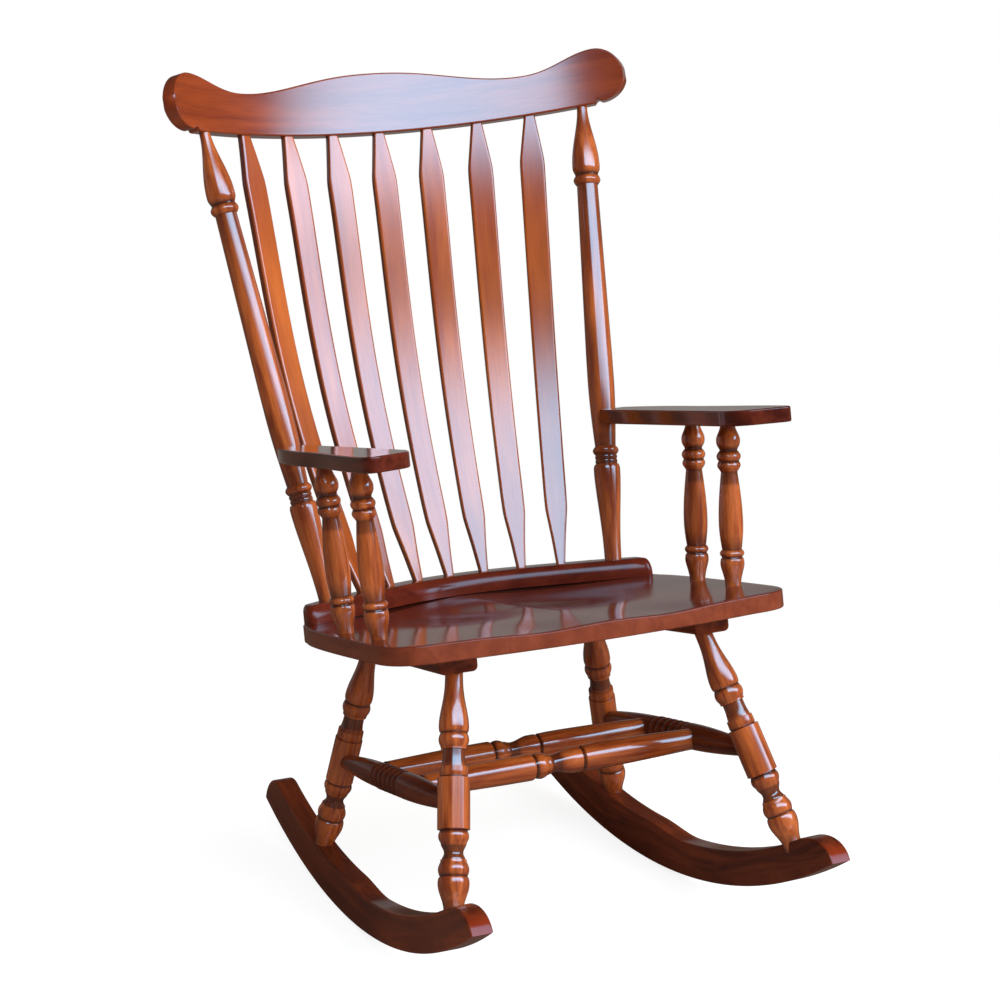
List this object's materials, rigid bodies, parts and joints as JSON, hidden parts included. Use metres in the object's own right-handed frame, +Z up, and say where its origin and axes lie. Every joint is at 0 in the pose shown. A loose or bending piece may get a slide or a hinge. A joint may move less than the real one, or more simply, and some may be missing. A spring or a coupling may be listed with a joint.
{
  "type": "rocking chair",
  "caption": "Wooden rocking chair with a saddle seat, flat bowed back spindles, turned posts, legs and stretchers, curved crest rail, flat arms and two curved rockers.",
  "frame": {"origin": "middle of the bounding box's underside, on the floor that the rockers rest on", "axes": "+Z up, -Y the way the sitter faces, X across; the chair leans back 12.5 degrees at rest, and left and right are as seen from the front, so left is -X"},
  "size_m": [0.7098, 0.9394, 1.1166],
  "materials": {
    "cherry": "glossy lacquer",
    "dark_cherry": "glossy lacquer",
    "pale_wood": "satin",
    "steel": "satin",
    "brass": "satin"
  },
  "bodies": {
    "root": {"arm_left": "dark_cherry", "arm_post_front_left": "cherry", "arm_post_front_right": "cherry", "arm_post_rear_left": "cherry", "arm_post_rear_right": "cherry", "arm_right": "dark_cherry", "arm_screw_left": "steel", "arm_screw_right": "steel", "back_post_left": "cherry", "back_post_right": "cherry", "cleat_screw_front_left": "steel", "cleat_screw_front_right": "steel", "cleat_screw_rear_left": "steel", "cleat_screw_rear_right": "steel", "crest_rail": "cherry", "cross_stretcher_front": "cherry", "cross_stretcher_rear": "cherry", "leg_cleat_left": "dark_cherry", "leg_cleat_right": "dark_cherry", "leg_front_left": "cherry", "leg_front_right": "cherry", "leg_rear_left": "cherry", "leg_rear_right": "cherry", "rail_plug_left": "pale_wood", "rail_plug_middle": "pale_wood", "rail_plug_right": "pale_wood", "rail_screw_left": "steel", "rail_screw_middle": "steel", "rail_screw_right": "steel", "rocker_left": "dark_cherry", "rocker_right": "dark_cherry", "seat": "cherry", "seat_rail": "cherry", "side_stretcher_left": "dark_cherry", "side_stretcher_right": "dark_cherry", "spindle_1": "cherry", "spindle_2": "cherry", "spindle_3": "cherry", "spindle_4": "cherry", "spindle_5": "cherry", "spindle_6": "cherry", "spindle_7": "cherry", "stretcher_screw_front_left": "brass", "stretcher_screw_front_right": "brass", "stretcher_screw_rear_left": "brass", "stretcher_screw_rear_right": "brass"}
  },
  "joints": []
}
